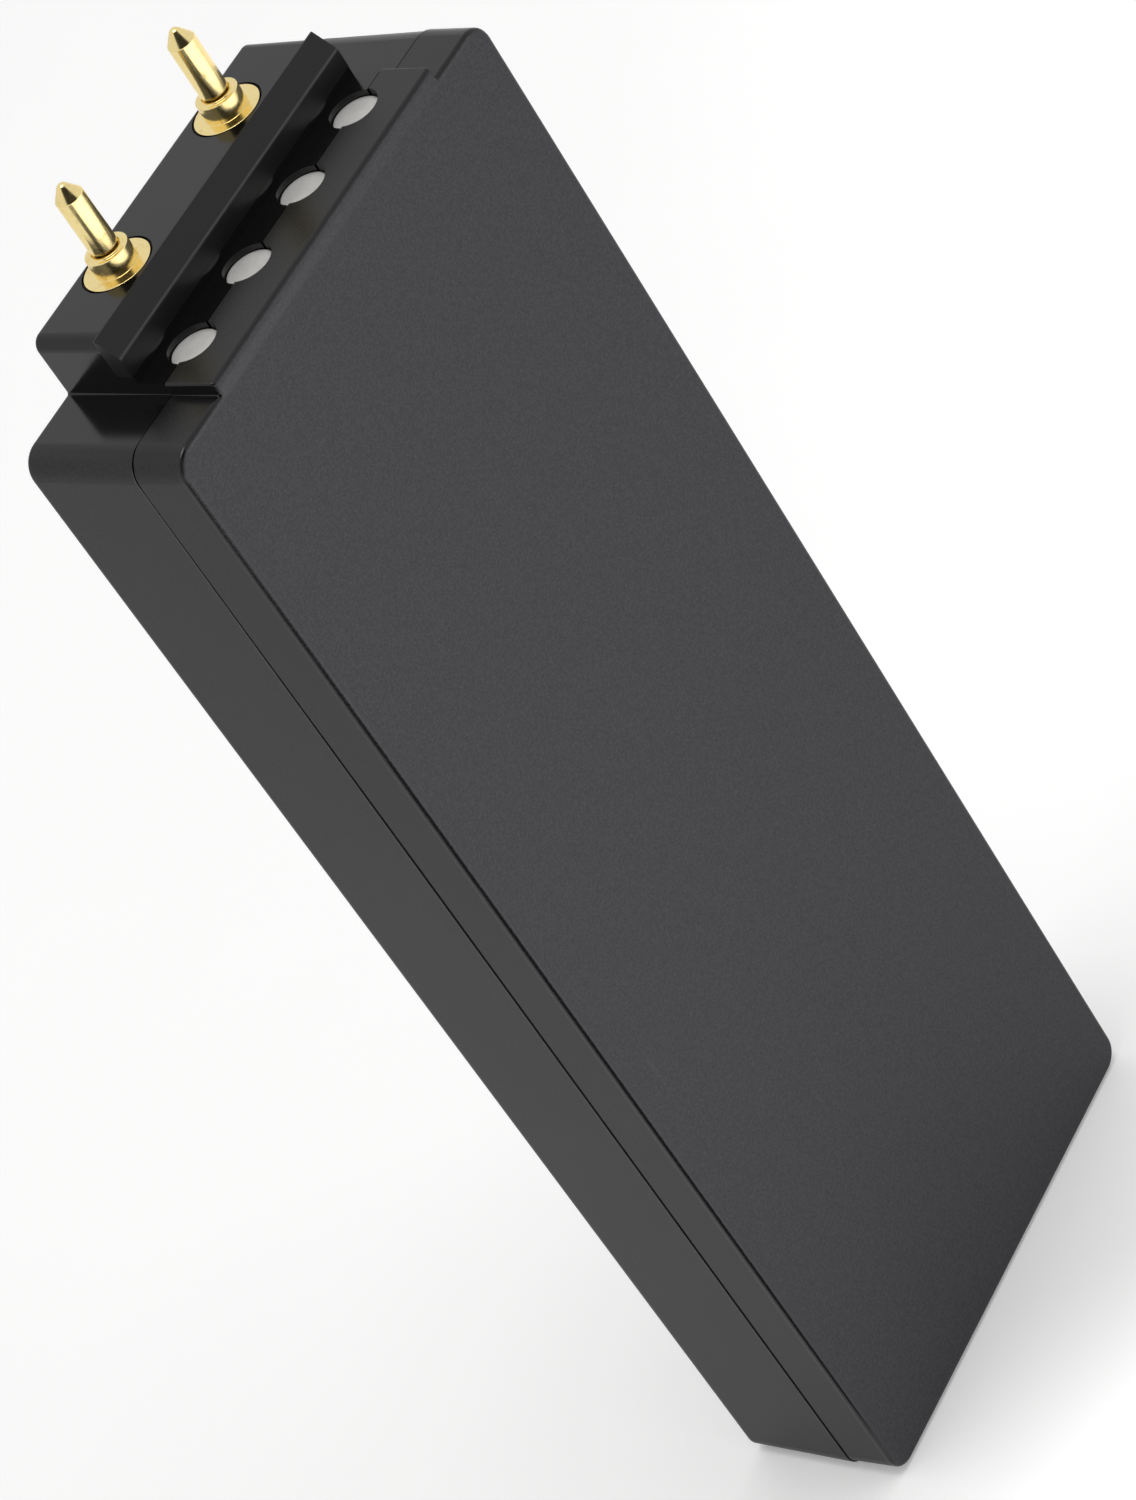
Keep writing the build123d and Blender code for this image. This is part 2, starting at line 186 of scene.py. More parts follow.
class Finish:
    """A material being made: its node tree, its Principled shader and the ways to feed them."""

    def __init__(self, name, **constants):
        self.material = bpy.data.materials.new(name)
        self.material.use_nodes = True
        self.tree = self.material.node_tree
        self.shader = self.tree.nodes["Principled BSDF"]
        for key, value in constants.items():
            self.shader.inputs[key.replace("_", " ")].default_value = value
        self.place = self.node("ShaderNodeTexCoord", output="Object")
        self.x, self.y, self.z = self.split(self.place)

    def node(self, kind, settings=None, inputs=None, output=0):
        """Adds one node, with its settings first and then its sockets, and returns one of its outputs."""
        made = self.tree.nodes.new(kind)
        for key, value in (settings or {}).items():
            setattr(made, key, value)
        for key, value in (inputs or {}).items():
            self.feed(made.inputs[key], value)
        return Signal(self, made.outputs[output])

    def feed(self, socket, value):
        """Links a signal to a socket, or sets the socket to a constant."""
        if isinstance(value, Signal):
            self.tree.links.new(value.socket, socket)
        elif hasattr(socket.default_value, "__len__") and len(socket.default_value) == 4:
            socket.default_value = (*value[:3], 1.0)
        else:
            socket.default_value = value

    def math(self, operation, *values):
        return self.node("ShaderNodeMath", {"operation": operation}, dict(enumerate(values)))

    def split(self, vector):
        made = self.tree.nodes.new("ShaderNodeSeparateXYZ")
        self.tree.links.new(vector.socket, made.inputs[0])
        return [Signal(self, made.outputs[i]) for i in range(3)]

    def join(self, x, y, z):
        return self.node("ShaderNodeCombineXYZ", inputs={"X": x, "Y": y, "Z": z})

    def scaled(self, x, y, z):
        """Object coordinates times a size in each direction, for grain that is longer one way."""
        return self.node("ShaderNodeVectorMath", {"operation": "MULTIPLY"}, {0: self.place, 1: (x, y, z)})

    def noise(self, feature, detail=2.0, roughness=0.5, place=None):
        """Cloudy noise whose patches are about this many metres across."""
        return self.node(
            "ShaderNodeTexNoise", {"noise_dimensions": "3D"},
            {"Vector": place or self.place, "Scale": 1.0 / feature, "Detail": detail, "Roughness": roughness})

    def ramp(self, value, low, high):
        """0 below low, 1 above high and smooth between."""
        return self.node(
            "ShaderNodeMapRange", {"interpolation_type": "SMOOTHSTEP"},
            {"Value": value, "From Min": low, "From Max": high, "To Min": 0.0, "To Max": 1.0})

    def largest(self, first, second):
        return self.math("MAXIMUM", first, second)

    def smallest(self, first, second):
        return self.math("MINIMUM", first, second)

    def blend(self, factor, first, second):
        """Mixes two colours, through the sockets of a Mix node that are for colours."""
        made = self.tree.nodes.new("ShaderNodeMix")
        made.data_type = "RGBA"
        self.feed(made.inputs[0], factor)
        self.feed(made.inputs[6], first)
        self.feed(made.inputs[7], second)
        return Signal(self, made.outputs[2])

    def specks(self, spacing, radius, share):
        """Round specks scattered through space, as a mask. Share is the part of the cells that hold one."""
        cells = self.tree.nodes.new("ShaderNodeTexVoronoi")
        cells.feature = "F1"
        self.feed(cells.inputs["Vector"], self.place)
        cells.inputs["Scale"].default_value = 1.0 / spacing
        distance = Signal(self, cells.outputs["Distance"])
        near = 1.0 - self.ramp(distance, 0.6 * radius / spacing, radius / spacing)
        chance = self.split(Signal(self, cells.outputs["Color"]))[0]
        return near * self.math("LESS_THAN", chance, share)

    def bump(self, height, distance, below=None):
        """Turns a height from 0 to 1 into a bumped normal of this depth in metres."""
        inputs = {"Height": height, "Distance": distance, "Strength": 1.0}
        if below is not None:
            inputs["Normal"] = below
        return self.node("ShaderNodeBump", None, inputs)

    def finish(self, colour, roughness, normal=None, metallic=None):
        """Feeds the Principled shader and returns the material."""
        self.feed(self.shader.inputs["Base Color"], colour)
        self.feed(self.shader.inputs["Roughness"], roughness)
        if normal is not None:
            self.feed(self.shader.inputs["Normal"], normal)
        if metallic is not None:
            self.feed(self.shader.inputs["Metallic"], metallic)
        return self.material


def tinted(colour, factor):
    """A colour made lighter or darker."""
    return tuple(min(1.0, channel * factor) for channel in colour)


# ---------------------------------------------------------------- finishes

def moulded_case():
    """Fine spark-eroded grain on dark plastic, polished along the outer edges, with a few dust specks."""
    f = Finish("moulded_case", IOR=1.44)
    base = tuple(colours().case)
    grain = f.noise(sizes().grain_size, 2.0, 0.6)
    cloud = f.noise(0.018, 3.0, 0.55)
    low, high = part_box("rear_tray")
    half_width = (high.x - low.x) / 2
    shoulder = high.z - HEAD_RISE
    seam = low.y
    # A place is near an outer edge when it is close to two of the side, the end and the face at once.
    from_side = half_width - abs(f.x)
    from_end = f.smallest(f.z, abs(shoulder - f.z))
    from_face = cad_high.y - abs(f.y)
    nearest = f.smallest(from_side, from_end)
    farthest = f.largest(from_side, from_end)
    edge = f.largest(nearest, f.smallest(farthest, from_face))
    worn = (1.0 - f.ramp(edge, 0.0002, 0.0011)) * f.ramp(cloud, 0.35, 0.65)
    # Handling marks run up and down the case. Dust lies on it in single specks.
    streak = f.noise(0.0009, 2.0, 0.5, f.scaled(1.0, 1.0, 0.06))
    scuff = f.ramp(streak, 0.66, 0.74) * f.ramp(f.noise(0.02), 0.55, 0.65)
    dust = f.specks(0.016, 0.00022, 0.05)
    # Painted glints: pale flecks on the grain, a painted highlight for light it catches.
    painted_glint = f.ramp(f.noise(0.00022, 1.0, 0.5), 0.66, 0.80) * f.ramp(cloud, 0.45, 0.60)
    # The broad front face is painted cooler and lighter than the sides, a painted tint for how it is lit, and
    # its grain is more mottled.
    face = f.ramp(0.0 - f.y, cad_high.y - 0.00012, cad_high.y - 0.00003)
    mottle = f.ramp(grain, 0.30, 0.70) * 0.75 + cloud * 0.25
    colour = f.blend(mottle, tinted(base, 0.1), tinted(base, 3.2))
    painted_cool = (base[0] * 0.9, base[1] * 0.9, base[2] * 1.1)
    colour = f.blend(face, colour, f.blend(mottle, tinted(painted_cool, 0.2), tinted(painted_cool, 6.0)))
    colour = f.blend(painted_glint * 0.5, colour, tinted(base, 8.0))
    colour = f.blend(worn * 0.5, colour, tinted(base, 1.9))
    rim = 1.0 - f.ramp(edge, 0.0003, 0.0008)
    # A thin painted highlight line runs along the tray's edge at the seam, on the sides.
    painted_lip_highlight = f.ramp(f.y, seam - 0.00002, seam + 0.00002) * (1.0 - f.ramp(f.y, seam + 0.00006, seam + 0.00014))
    painted_lip_highlight = painted_lip_highlight * f.ramp(from_side, 0.0008, 0.0001)
    colour = f.blend(painted_lip_highlight * 0.5, colour, (0.12, 0.12, 0.12))
    colour = f.blend(dust * 0.8, colour, (0.30, 0.29, 0.28))
    # The top faces are smoother than the sides, and those of the tray smoother than those of the cover.
    smooth_top_painted_dark = f.ramp(f.z, shoulder - 0.0006, shoulder - 0.0002) * (1.0 - face)
    # The top faces are also painted darker here: painted shade for how they are lit.
    colour = f.blend(smooth_top_painted_dark * 0.85, colour, tinted(base, 0.3))
    on_tray = f.ramp(f.y, seam - 0.00003, seam)
    polish = f.largest(smooth_top_painted_dark * (0.20 + on_tray * 0.13), rim * 0.28)
    roughness = 0.40 + grain * 0.10 + cloud * 0.06 - scuff * 0.06 - polish
    normal = f.bump(grain * (1.0 - smooth_top_painted_dark * 0.8), sizes().grain_depth)
    normal = f.bump(cloud, 0.00002, normal)
    return f.finish(colour, roughness, normal)


def moulded_rail():
    """Smoother, darker plastic of the key rail, with a painted highlight line along its front edge."""
    f = Finish("moulded_rail", IOR=1.40)
    base = tuple(colours().rail)
    grain = f.noise(0.00014, 2.0, 0.55)
    flow = f.noise(0.002, 3.0, 0.5, f.scaled(0.15, 1.0, 1.0))
    colour = f.blend(flow, tinted(base, 0.8), tinted(base, 1.3))
    low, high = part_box("key_rail")
    crest = high.z - RAIL_CREST
    from_crest = f.math("SQRT", (f.y - low.y) ** 2.0 + (f.z - crest) ** 2.0)
    # A painted highlight: a paler line along the rail's front edge, broken up by the flow noise.
    painted_crest_highlight = (1.0 - f.ramp(from_crest, 0.00010, 0.00022)) * f.ramp(flow, 0.25, 0.45)
    colour = f.blend(painted_crest_highlight * 0.65, colour, (0.07, 0.07, 0.07))
    normal = f.bump(grain, 0.000005)
    return f.finish(colour, 0.24 + grain * 0.10 + flow * 0.06, normal)


def turned_gold():
    """Gold plate over turned brass: fine turning marks round the pin and faint patches of tarnish."""
    f = Finish("turned_gold", Metallic=1.0)
    base = tuple(colours().gold)
    pitch = sizes().tool_pitch
    wander = f.noise(0.0012, 2.0, 0.5)
    marks = f.math("SINE", f.z * (2 * math.pi / pitch) + wander * 6.0) * 0.5 + 0.5
    fine = f.noise(0.00025, 3.0, 0.6, f.scaled(0.25, 0.25, 3.0))
    tarnish = f.ramp(f.noise(0.0011, 3.0, 0.6), 0.52, 0.75)
    colour = f.blend(tarnish * 0.35, base, (0.62, 0.33, 0.09))
    colour = f.blend(fine * 0.25, colour, tinted(base, 1.1))
    roughness = 0.13 + fine * 0.10 + tarnish * 0.12
    normal = f.bump(marks * 0.5 + fine * 0.5, 0.0000012)
    return f.finish(colour, roughness, normal)


def turned_silver():
    """Silver plate on the signal contacts, brushed in faint rings round each contact's own middle."""
    f = Finish("turned_silver", Metallic=0.7)
    base = tuple(colours().silver)
    low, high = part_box("signal_contact_1")
    first_x = (low.x + high.x) / 2
    pitch = (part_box("signal_contact_4")[0].x - low.x) / 3
    seam_y = (low.y + high.y) / 2
    across = f.math("FRACT", (f.x - first_x) / pitch + 0.5) - 0.5
    radius = f.math("SQRT", (across * pitch) ** 2.0 + (f.y - seam_y) ** 2.0)
    rings = f.noise(0.00016, 2.0, 0.6, f.join(radius, 0.0, 0.0))
    haze = f.noise(0.0016, 3.0, 0.6)
    colour = f.blend(haze, tinted(base, 0.82), tinted(base, 1.12))
    colour = f.blend(f.ramp(haze, 0.6, 0.8) * 0.3, colour, (0.45, 0.42, 0.38))
    normal = f.bump(rings, 0.000004)
    return f.finish(colour, 0.40 + rings * 0.16 + haze * 0.10, normal)


def drawn_wire():
    """Spring steel wire with drawing marks."""
    f = Finish("drawn_wire", Metallic=1.0)
    marks = f.noise(0.00012, 3.0, 0.6, f.scaled(1.0, 1.0, 6.0))
    stain = f.noise(0.001, 2.0, 0.5)
    colour = f.blend(stain, (0.34, 0.34, 0.33), (0.62, 0.61, 0.58))
    return f.finish(colour, 0.24 + marks * 0.2, f.bump(marks, 0.000002))


def plated_metal(name, base, feature, roughness, stretch=(1.0, 1.0, 1.0)):
    """Rolled or drawn plated metal with fine scratches and a soft clouding."""
    f = Finish(name, Metallic=1.0)
    scratch = f.noise(feature, 4.0, 0.65, f.scaled(*stretch))
    cloud = f.noise(0.006, 2.0, 0.5)
    colour = f.blend(cloud, tinted(base, 0.78), tinted(base, 1.12))
    return f.finish(colour, roughness + scratch * 0.18 + cloud * 0.08, f.bump(scratch, 0.000004))


def nickel_sheet(name, feature, stretch):
    """Nickel strip, with its scratches along the way it was rolled or cut."""
    return plated_metal(name, tuple(colours().nickel), feature, 0.3, stretch)


def shrink_film():
    """Glossy shrink film with fine lengthwise wrinkles, paler where they crease."""
    f = Finish("shrink_film", Coat_Weight=0.35, Coat_Roughness=0.12)
    base = tuple(colours().sleeve)
    wrinkle = f.noise(0.0016, 3.0, 0.55, f.scaled(1.0, 1.0, 0.08))
    cloud = f.noise(0.012, 2.0, 0.5)
    crease = f.ramp(wrinkle, 0.62, 0.74)
    colour = f.blend(cloud, tinted(base, 0.8), tinted(base, 1.2))
    colour = f.blend(crease * 0.4, colour, tinted(base, 2.2))
    return f.finish(colour, 0.26 + wrinkle * 0.15, f.bump(wrinkle, 0.00006))


def solder_mask():
    """Green solder mask over a woven laminate, with copper tracks showing as a raised lighter pattern."""
    f = Finish("solder_mask", Coat_Weight=0.25, Coat_Roughness=0.2)
    base = tuple(colours().board)
    weave = f.math("SINE", f.x * 9000.0) * f.math("SINE", (f.z + f.y) * 9000.0) * 0.5 + 0.5
    cells = f.node(
        "ShaderNodeTexVoronoi", {"feature": "F1", "distance": "CHEBYCHEV"},
        {"Vector": f.place, "Scale": 420.0, "Randomness": 0.35})
    track = f.ramp(cells, 0.40, 0.43)
    colour = f.blend(weave * 0.3, base, tinted(base, 0.7))
    colour = f.blend(track * 0.55, colour, tinted(base, 2.0))
    return f.finish(colour, 0.34 + weave * 0.08 - track * 0.06, f.bump(track + weave * 0.15, 0.00003))


def plain_polymer(name, base, grain, roughness, stretch=(1.0, 1.0, 1.0)):
    """Moulded or extruded polymer with a fine grain and slight shading from place to place."""
    f = Finish(name)
    fine = f.noise(grain, 3.0, 0.6, f.scaled(*stretch))
    cloud = f.noise(0.004, 2.0, 0.5)
    colour = f.blend(cloud * 0.6 + fine * 0.4, tinted(base, 0.8), tinted(base, 1.2))
    return f.finish(colour, roughness + fine * 0.16 - 0.08, f.bump(fine, 0.00001))


def insulation(name, base):
    """Extruded covering of a lead, with its grain drawn out along the wire."""
    return plain_polymer(name, base, 0.0004, 0.42, (1.0, 1.0, 0.2))


def pressed_fibre(name, base):
    """Paper or fibre card: short matted fibres and a mottled tone."""
    f = Finish(name)
    fibre = f.noise(0.0005, 5.0, 0.7, f.scaled(1.0, 3.0, 1.0))
    cross = f.noise(0.0005, 5.0, 0.7, f.scaled(3.0, 1.0, 1.0))
    mottle = f.noise(0.004, 2.0, 0.5)
    colour = f.blend(fibre * 0.5 + mottle * 0.5, tinted(base, 0.78), tinted(base, 1.12))
    return f.finish(colour, 0.82 + cross * 0.1, f.bump(fibre + cross, 0.00003))


def open_foam():
    """Dark foam with open cells, each pore painted darker as the shade inside it."""
    f = Finish("open_foam")
    cells = f.node("ShaderNodeTexVoronoi", {"feature": "F1"}, {"Vector": f.place, "Scale": 1600.0})
    pore_painted_dark = 1.0 - f.ramp(cells, 0.12, 0.5)
    # Painted shade: the pores are painted darker than the foam.
    colour = f.blend(pore_painted_dark, (0.055, 0.055, 0.058), (0.008, 0.008, 0.008))
    return f.finish(colour, 0.92, f.bump(1.0 - pore_painted_dark, 0.0002))


def coated_foil():
    """The end of a wound cell: thin rings of copper and dark coating round the winding's middle."""
    f = Finish("coated_foil", Metallic=0.7)
    low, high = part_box("cell_winding_1")
    middle = (low.x + high.x) / 2
    # The first cell stands one pitch to the left of the pack's middle.
    pitch = -middle
    across = f.math("FRACT", (f.x - middle) / pitch + 0.5) - 0.5
    radius = f.math("SQRT", (across * pitch) ** 2.0 + f.y ** 2.0)
    layer = f.math("SINE", radius * (2 * math.pi / 0.0003)) * 0.5 + 0.5
    colour = f.blend(layer, (0.04, 0.035, 0.035), (0.45, 0.24, 0.14))
    return f.finish(colour, 0.45 + layer * 0.1, f.bump(layer, 0.00004))


def studio_floor():
    """Pale floor that glows a little: most well out in front of the pack, and less on its other sides."""
    f = Finish("studio_floor", Emission_Strength=0.8)
    base = tuple(colours().floor)
    mottle = f.noise(0.03, 3.0, 0.5)
    colour = f.blend(mottle, tinted(base, 0.985), tinted(base, 1.01))
    across = f.x * 0.6 - f.y * 0.8
    nearer = 0.0 - f.x - f.y
    front_glow = 0.34 + f.ramp(nearer, 0.015, 0.085) * 0.90
    left_glow = 0.26 - f.ramp(across, -0.12, -0.22) * 0.14
    in_front = f.ramp(across, -0.03, 0.05)
    glow = left_glow + (front_glow - left_glow) * in_front
    f.feed(f.shader.inputs["Emission Color"], f.join(glow, glow, glow))
    return f.finish(colour, 0.9)


def card_black():
    """Matt black paper with a faint fibre."""
    f = Finish("card_black")
    fibre = f.noise(0.004, 3.0, 0.6)
    return f.finish(f.blend(fibre, (0.006, 0.006, 0.006), (0.012, 0.012, 0.012)), 0.9)


FINISHES = {
    "case_plastic": moulded_case,
    "rail_plastic": moulded_rail,
    "gold_plate": turned_gold,
    "contact_silver": turned_silver,
    "spring_steel": drawn_wire,
    "tail_brass": lambda: plated_metal("tinned_tail", (0.62, 0.58, 0.48), 0.0004, 0.3),
    "can_steel": lambda: plated_metal("drawn_can", (0.60, 0.60, 0.59), 0.0008, 0.24, (1.0, 1.0, 0.05)),
    "cap_steel": lambda: plated_metal("pressed_cap", (0.64, 0.63, 0.61), 0.0006, 0.22),
    "strip_nickel": lambda: nickel_sheet("rolled_nickel", 0.0006, (0.05, 1.0, 1.0)),
    "link_nickel": lambda: nickel_sheet("cut_nickel", 0.0005, (1.0, 1.0, 0.1)),
    "board_laminate": solder_mask,
    "sleeve_film": shrink_film,
    "electrode_foil": coated_foil,
    "gasket_plastic": lambda: plain_polymer("natural_nylon", (0.55, 0.54, 0.50), 0.0003, 0.5),
    "ring_paper": lambda: pressed_fibre("white_paper", (0.75, 0.74, 0.70)),
    "card_fibre": lambda: pressed_fibre("fibre_card", (0.30, 0.34, 0.30)),
    "foam": open_foam,
    "lead_black": lambda: insulation("black_insulation", (0.012, 0.012, 0.012)),
    "lead_red": lambda: insulation("red_insulation", (0.42, 0.015, 0.01)),
    "lead_white": lambda: insulation("white_insulation", (0.68, 0.67, 0.63)),
    "bead_resin": lambda: plain_polymer("dipped_resin", (0.02, 0.02, 0.022), 0.0006, 0.3),
    "chip_resin": lambda: plain_polymer("moulded_resin", (0.018, 0.018, 0.019), 0.00012, 0.55),
    "resistor_body": lambda: plain_polymer("resistor_coat", (0.03, 0.028, 0.028), 0.0002, 0.45),
    "capacitor_body": lambda: plain_polymer("fired_ceramic", (0.38, 0.27, 0.16), 0.0002, 0.5),
    "fuse_body": lambda: plain_polymer("fuse_moulding", (0.62, 0.58, 0.48), 0.0002, 0.5),
}
finished = {}


def finish_for(slot):
    """The one material made for a slot of the record."""
    if slot not in finished:
        finished[slot] = FINISHES[slot]()
    return finished[slot]


def finish_nodes(*names):
    """Gives CAD nodes the material of their own slot."""
    slots = {entry["node"]: entry["material_slot"] for entry in frame["record"]["subparts"]}
    for name in names:
        node = frame["nodes"][name]
        for place in node.material_slots:
            place.material = finish_for(slots[name])


# ---------------------------------------------------------------- mesh tools

def turned_mesh(name, profile, axis, segments=96):
    """A closed solid turned about a vertical axis, from (radius, z) points run from bottom to top outside."""
    mesh = bpy.data.meshes.new(name)
    build = bmesh.new()
    rings = []
    for radius, z in profile:
        if radius < 1e-9:
            rings.append([build.verts.new((axis[0], axis[1], z))])
            continue
        ring = []
        for i in range(segments):
            turn = 2 * math.pi * i / segments
            point = (axis[0] + radius * math.cos(turn), axis[1] + radius * math.sin(turn), z)
            ring.append(build.verts.new(point))
        rings.append(ring)
    closed = rings + [rings[0]] if len(rings[0]) > 1 else rings
    for low, high in zip(closed, closed[1:]):
        for i in range(segments):
            j = (i + 1) % segments
            corners = [low[i % len(low)], low[j % len(low)], high[j % len(high)], high[i % len(high)]]
            corners = list(dict.fromkeys(corners))
            build.faces.new(corners)
    bmesh.ops.recalc_face_normals(build, faces=build.faces)
    build.to_mesh(mesh)
    build.free()
    mesh.shade_smooth()
    sharpest_smooth_edge = math.radians(28.0)
    mesh.set_sharp_from_angle(angle=sharpest_smooth_edge)
    return mesh


def rounded(profile, corners, radius):
    """The profile with each listed corner rounded off, so that turned edges catch light."""
    steps = 4
    points = []
    for i, point in enumerate(profile):
        if i not in corners:
            points.append(point)
            continue
        here = Vector(point)
        before = Vector(profile[i - 1]) - here
        after = Vector(profile[(i + 1) % len(profile)]) - here
        reach = min(radius, before.length * 0.45, after.length * 0.45)
        start = here + before.normalized() * reach
        end = here + after.normalized() * reach
        for k in range(steps + 1):
            t = k / steps
            curve = start * (1 - t) ** 2 + here * (2 * t * (1 - t)) + end * t ** 2
            points.append((curve.x, curve.y))
    return points


def new_piece(name, mesh, slot):
    """A visible piece from a finished mesh, with its slot's material."""
    piece = bpy.data.objects.new(name, mesh)
    bpy.context.scene.collection.objects.link(piece)
    mesh.materials.clear()
    mesh.materials.append(finish_for(slot))
    return piece


def node_tree(name, floats=(), integers=(), extra=()):
    """A geometry node tree with named inputs, and its input and output nodes."""
    tree = bpy.data.node_groups.new(name, "GeometryNodeTree")
    tree.interface.new_socket("Geometry", in_out="OUTPUT", socket_type="NodeSocketGeometry")
    for socket_name in floats:
        tree.interface.new_socket(socket_name, in_out="INPUT", socket_type="NodeSocketFloat")
    for socket_name in integers:
        tree.interface.new_socket(socket_name, in_out="INPUT", socket_type="NodeSocketInt")
    for socket_name, kind in extra:
        tree.interface.new_socket(socket_name, in_out="INPUT", socket_type=kind)
    return tree, tree.nodes.new("NodeGroupInput"), tree.nodes.new("NodeGroupOutput")


def add_node(tree, kind, settings=None, inputs=None):
    """Adds a geometry node, sets it and feeds its inputs with constants or output sockets."""
    made = tree.nodes.new(kind)
    for key, value in (settings or {}).items():
        setattr(made, key, value)
    for key, value in (inputs or {}).items():
        if isinstance(value, bpy.types.NodeSocket):
            tree.links.new(value, made.inputs[key])
        else:
            made.inputs[key].default_value = value
    return made


def grown_mesh(name, tree, values):
    """Runs a geometry node tree with these named inputs and returns the result as a plain mesh."""
    host = bpy.data.objects.new(name, bpy.data.meshes.new(name + "_seed"))
    bpy.context.scene.collection.objects.link(host)
    modifier = host.modifiers.new("Grow", "NODES")
    modifier.node_group = tree
    for item in tree.interface.items_tree:
        if item.in_out == "INPUT" and item.name in values:
            modifier[item.identifier] = values[item.name]
    graph = bpy.context.evaluated_depsgraph_get()
    mesh = bpy.data.meshes.new_from_object(host.evaluated_get(graph))
    mesh.name = name
    bpy.data.objects.remove(host)
    return mesh


# ---------------------------------------------------------------- operators

class PACK_OT_case(bpy.types.Operator):
    """Finish the case halves and the key rail"""

    bl_idname = "pack.case"
    bl_label = "Case"

    def execute(self, context):
        finish_nodes("rear_tray", "front_cover", "key_rail")
        return {"FINISHED"}


def barrel_profile(side):
    """Outline of a barrel: the corners of its CAD node, with rounded rims."""
    low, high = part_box("pin_barrel_" + side)
    flange = (high.x - low.x) / 2
    collar = 2.3 * MM
    bore = 1.72 * MM
    mouth = 1.53 * MM
    lip_foot = mouth + 0.36 * MM
    lip_top = mouth + 0.30 * MM
    top = high.z - 0.15 * MM
    mouth_floor = top - 0.5 * MM
    surface = top - 2.05 * MM
    flange_floor = surface - 0.8 * MM
    profile = [
        (bore, low.z),
        (collar, low.z),
        (collar, flange_floor),
        (flange, flange_floor),
        (flange, surface),
        (collar, surface),
        (collar, top),
        (lip_foot, top),
        (lip_top, high.z),
        (mouth, high.z),
        (mouth, mouth_floor),
        (bore, mouth_floor),
    ]
    seen_corners = {4, 5, 6, 7, 8, 9}
    return rounded(profile, seen_corners, 0.09 * MM)


def plunger_profile(side):
    """Outline of a plunger, with a rounded shoulder between shaft and cone."""
    low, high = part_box("pin_plunger_" + side)
    foot = (high.x - low.x) / 2
    shaft = 1.49 * MM
    neck = 1.3 * MM
    foot_top = low.z + 4.0 * MM
    neck_top = foot_top + 0.8 * MM
    cone = high.z - 1.57 * MM
    ball = 0.7 * MM
    lean = math.radians(35.4)
    cone_end = (ball * math.cos(lean), high.z - ball + ball * math.sin(lean))
    profile = [
        (0.0, low.z),
        (foot, low.z),
        (foot, foot_top),
        (neck, foot_top),
        (neck, neck_top),
        (shaft, neck_top + shaft - neck),
        (shaft, cone),
        cone_end,
    ]
    foot_and_shoulder = {1, 2, 6}
    profile = rounded(profile, foot_and_shoulder, 0.10 * MM)[:-1]
    tip_steps = 7
    for step in range(tip_steps):
        angle = lean + (math.pi / 2 - lean) * step / tip_steps
        profile.append((ball * math.cos(angle), high.z - ball + ball * math.sin(angle)))
    profile.append((0.0, high.z))
    return profile


class PACK_OT_pins(bpy.types.Operator):
    """Turn the barrels and plungers of the contact pins"""

    bl_idname = "pack.pins"
    bl_label = "Contact pins"

    def execute(self, context):
        for side in SIDES:
            low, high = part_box("pin_barrel_" + side)
            axis = ((low.x + high.x) / 2, (low.y + high.y) / 2)
            mesh = turned_mesh("turned_barrel", barrel_profile(side), axis)
            barrel = new_piece("turned_barrel_" + side, mesh, "gold_plate")
            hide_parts("pin_barrel_" + side)
            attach(barrel, "pack")
            mesh = turned_mesh("turned_plunger", plunger_profile(side), axis)
            plunger = new_piece("turned_plunger_" + side, mesh, "gold_plate")
            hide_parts("pin_plunger_" + side)
            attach(plunger, "plunger_" + side)
        finish_nodes("pin_tail_left", "pin_tail_right")
        return {"FINISHED"}


